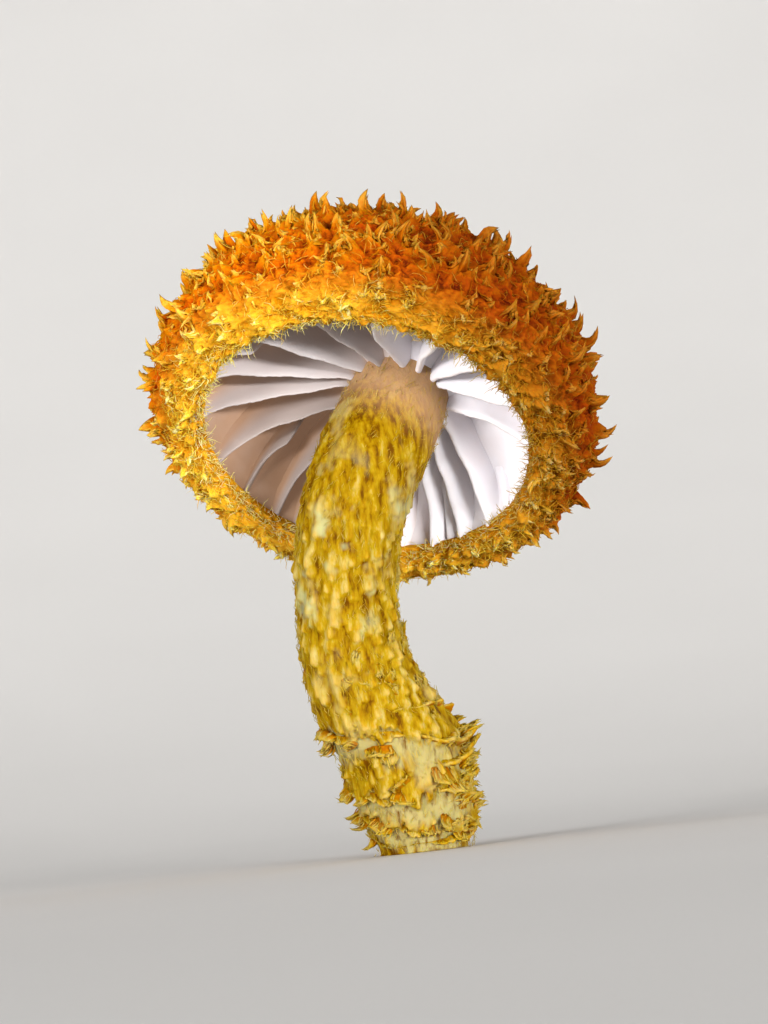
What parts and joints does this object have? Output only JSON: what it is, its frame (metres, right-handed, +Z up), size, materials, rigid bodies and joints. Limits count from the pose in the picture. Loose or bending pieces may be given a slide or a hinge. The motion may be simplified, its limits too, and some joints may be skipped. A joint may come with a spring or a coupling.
{
  "type": "golden-scruffy collybia mushroom",
  "caption": "Small wild mushroom with a domed spiny orange cap, broad white gills and a curved scaly yellow stem, standing on its flat cut foot.",
  "frame": {"origin": "centre of the flat cut at the foot of the stem", "axes": "+Z up out of the cut, -Y towards the side that the gills show on, +X to the right seen from there"},
  "size_m": [0.0152, 0.0139, 0.0209],
  "materials": {
    "cap": "orange fleece of matted fibres drawn up into yellow-tipped spines, dry, with a yellow woolly margin",
    "gills": "soft white flesh, smooth and slightly waxy, a little pink in the shade",
    "stem": "dry yellow fibres with shaggy scales, paler in patches, buff at the top"
  },
  "bodies": {
    "root": {"cap": "cap", "gills": "gills", "stem": "stem"}
  },
  "joints": []
}
